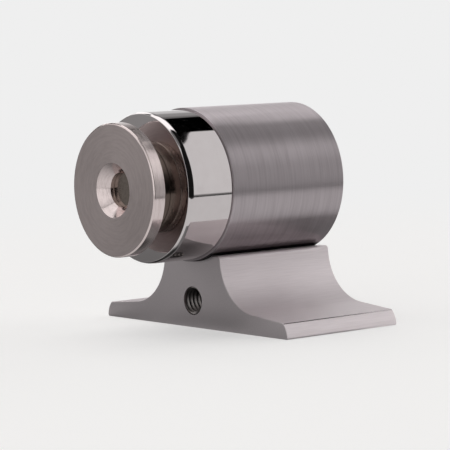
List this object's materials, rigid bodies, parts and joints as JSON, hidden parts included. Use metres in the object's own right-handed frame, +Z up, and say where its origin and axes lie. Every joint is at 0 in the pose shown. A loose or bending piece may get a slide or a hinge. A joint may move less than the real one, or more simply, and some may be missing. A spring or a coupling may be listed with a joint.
{
  "type": "magnetic door stop",
  "caption": "Floor door stop: a horizontal barrel on a saddle foot, with a polished collar and a magnetic head that holds a loose keeper disc for the door.",
  "frame": {"origin": "centre of the floor socket's mouth, in the plane of the foot's underside", "axes": "+Z up, +X along the foot's flanges, -Y towards the door, where the keeper disc faces"},
  "size_m": [0.06, 0.05, 0.046],
  "materials": {
    "foot_steel": "satin stainless steel",
    "barrel_steel": "brushed round the barrel",
    "collar_steel": "mirror polished",
    "magnet_plating": "bright nickel plate",
    "pole_plate_steel": "fine turned",
    "keeper_steel": "satin, turned rim and countersink",
    "screw_steel": "plain stainless steel"
  },
  "bodies": {
    "root": {"foot": "foot_steel", "barrel": "barrel_steel", "collar": "collar_steel", "magnet": "magnet_plating", "pole_plate": "pole_plate_steel", "keeper_disc": "keeper_steel", "barrel_screw": "screw_steel", "set_screw": "screw_steel"}
  },
  "joints": []
}
